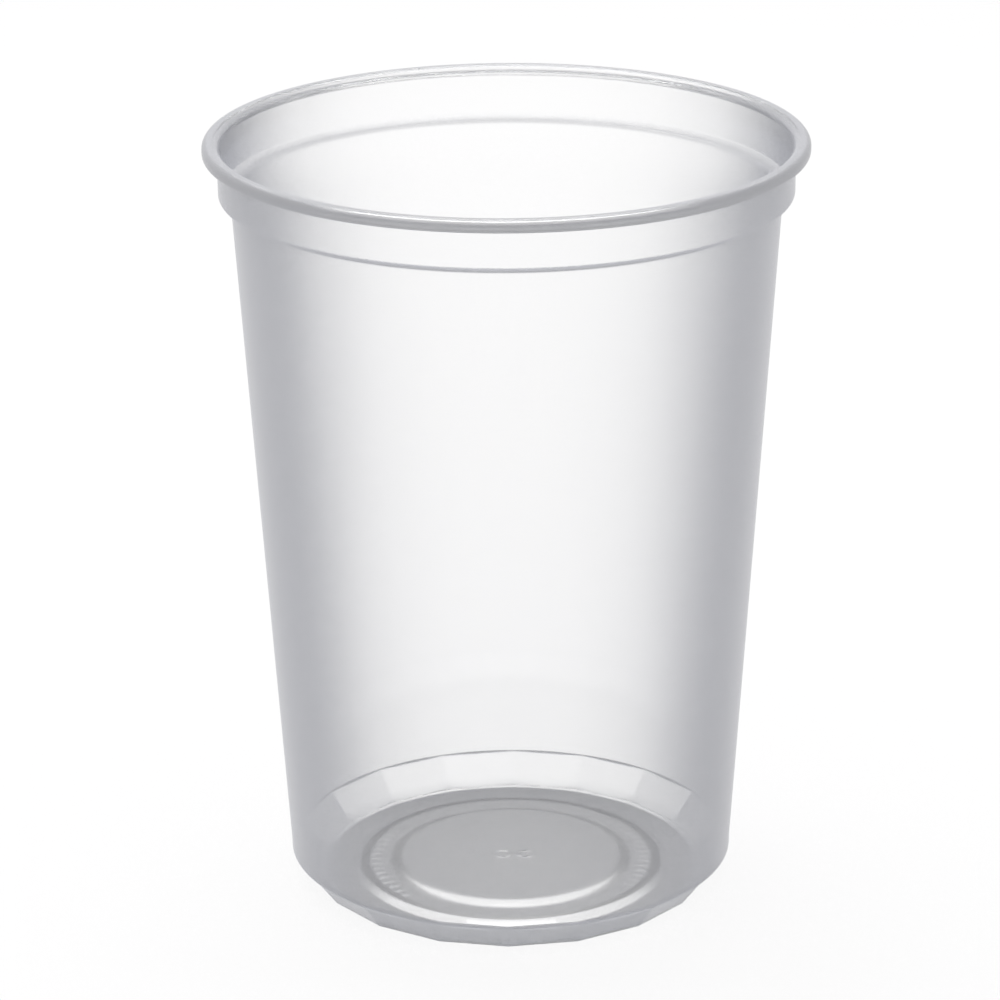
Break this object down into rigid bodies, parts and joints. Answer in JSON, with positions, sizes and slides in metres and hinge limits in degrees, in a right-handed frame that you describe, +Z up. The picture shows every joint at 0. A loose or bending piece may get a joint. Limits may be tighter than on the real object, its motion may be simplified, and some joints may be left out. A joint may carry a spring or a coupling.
{
  "type": "deli cup",
  "caption": "Tall tapered clear plastic cup with a rolled lip, a straight lid band over a small shoulder, a faceted heel and a stepped floor.",
  "frame": {"origin": "centre of the foot, on the surface the cup stands on", "axes": "+Z up along the cup's axis to the open mouth; a corner of the faceted heel faces -Y"},
  "size_m": [0.1142, 0.1142, 0.1493],
  "materials": {
    "cup": "clear glossy polypropylene, faintly hazy"
  },
  "bodies": {
    "root": {"cup": "cup"}
  },
  "joints": []
}
